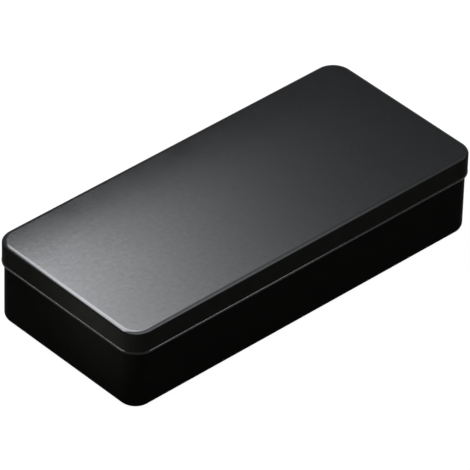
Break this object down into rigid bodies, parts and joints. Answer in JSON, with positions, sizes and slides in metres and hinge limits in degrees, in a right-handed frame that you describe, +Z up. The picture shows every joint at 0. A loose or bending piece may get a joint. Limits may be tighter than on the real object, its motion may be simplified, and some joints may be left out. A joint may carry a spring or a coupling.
{
  "type": "card game tin",
  "caption": "Long shallow pressed-steel tin with rounded corners and an overlapping lid that swings back on pin hinges along one long side.",
  "frame": {"origin": "on the standing surface, under the middle of the lid", "axes": "+X along the tin, +Y towards the hinges at the back, +Z up"},
  "size_m": [0.2114, 0.0974, 0.0442],
  "materials": {
    "base_lacquer": "satin black lacquer on tinplate outside, clear lacquer on bright tin inside",
    "lid_lacquer": "satin black lacquer on tinplate outside, clear lacquer on bright tin inside",
    "hinge_lacquer": "satin black lacquer on stamped steel",
    "pin_wire": "drawn steel wire"
  },
  "bodies": {
    "base": {"base_shell": "base_lacquer", "base_hinge_leaf_left": "hinge_lacquer", "base_hinge_leaf_right": "hinge_lacquer", "hinge_pin_left": "pin_wire", "hinge_pin_right": "pin_wire"},
    "lid": {"lid_shell": "lid_lacquer", "lid_hinge_leaf_left": "hinge_lacquer", "lid_hinge_leaf_right": "hinge_lacquer"}
  },
  "joints": [
    {"name": "lid_hinge", "type": "hinge", "parent": "base", "child": "lid", "pos_m": [0, 0.04825, 0.033], "axis": [-1, 0, 0], "range_deg": [0, 185]}
  ]
}
